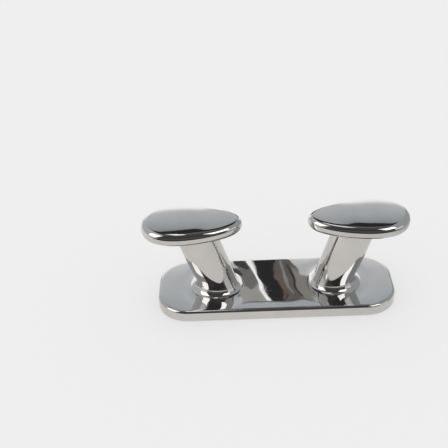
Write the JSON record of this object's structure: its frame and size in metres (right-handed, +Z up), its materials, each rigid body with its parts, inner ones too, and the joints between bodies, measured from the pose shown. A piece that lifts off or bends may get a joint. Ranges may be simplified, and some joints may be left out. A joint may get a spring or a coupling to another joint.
{
  "type": "deck cleat",
  "caption": "Twin-horn deck cleat: leaning tube posts with egg-shaped horns, welded into a round-cornered base plate with threaded holes beneath.",
  "frame": {"origin": "centre of the base plate's underside", "axes": "+X along the cleat from horn to horn, +Y across it, +Z up from the deck"},
  "size_m": [0.2192, 0.073, 0.0783],
  "materials": {
    "polished_plate": "mirror polished by hand",
    "polished_tube": "mirror polished",
    "polished_horn": "mirror polished",
    "polished_weld": "ground smooth and polished",
    "plain_weld": "ground flush",
    "turned_steel": "turned"
  },
  "bodies": {
    "root": {"base_plate": "polished_plate", "post_left": "polished_tube", "post_right": "polished_tube", "horn_left": "polished_horn", "horn_right": "polished_horn", "foot_weld_left": "polished_weld", "foot_weld_right": "polished_weld", "neck_weld_left": "polished_weld", "neck_weld_right": "polished_weld", "root_weld_left": "plain_weld", "root_weld_right": "plain_weld", "anchor_plug_left": "turned_steel", "anchor_plug_right": "turned_steel"}
  },
  "joints": []
}
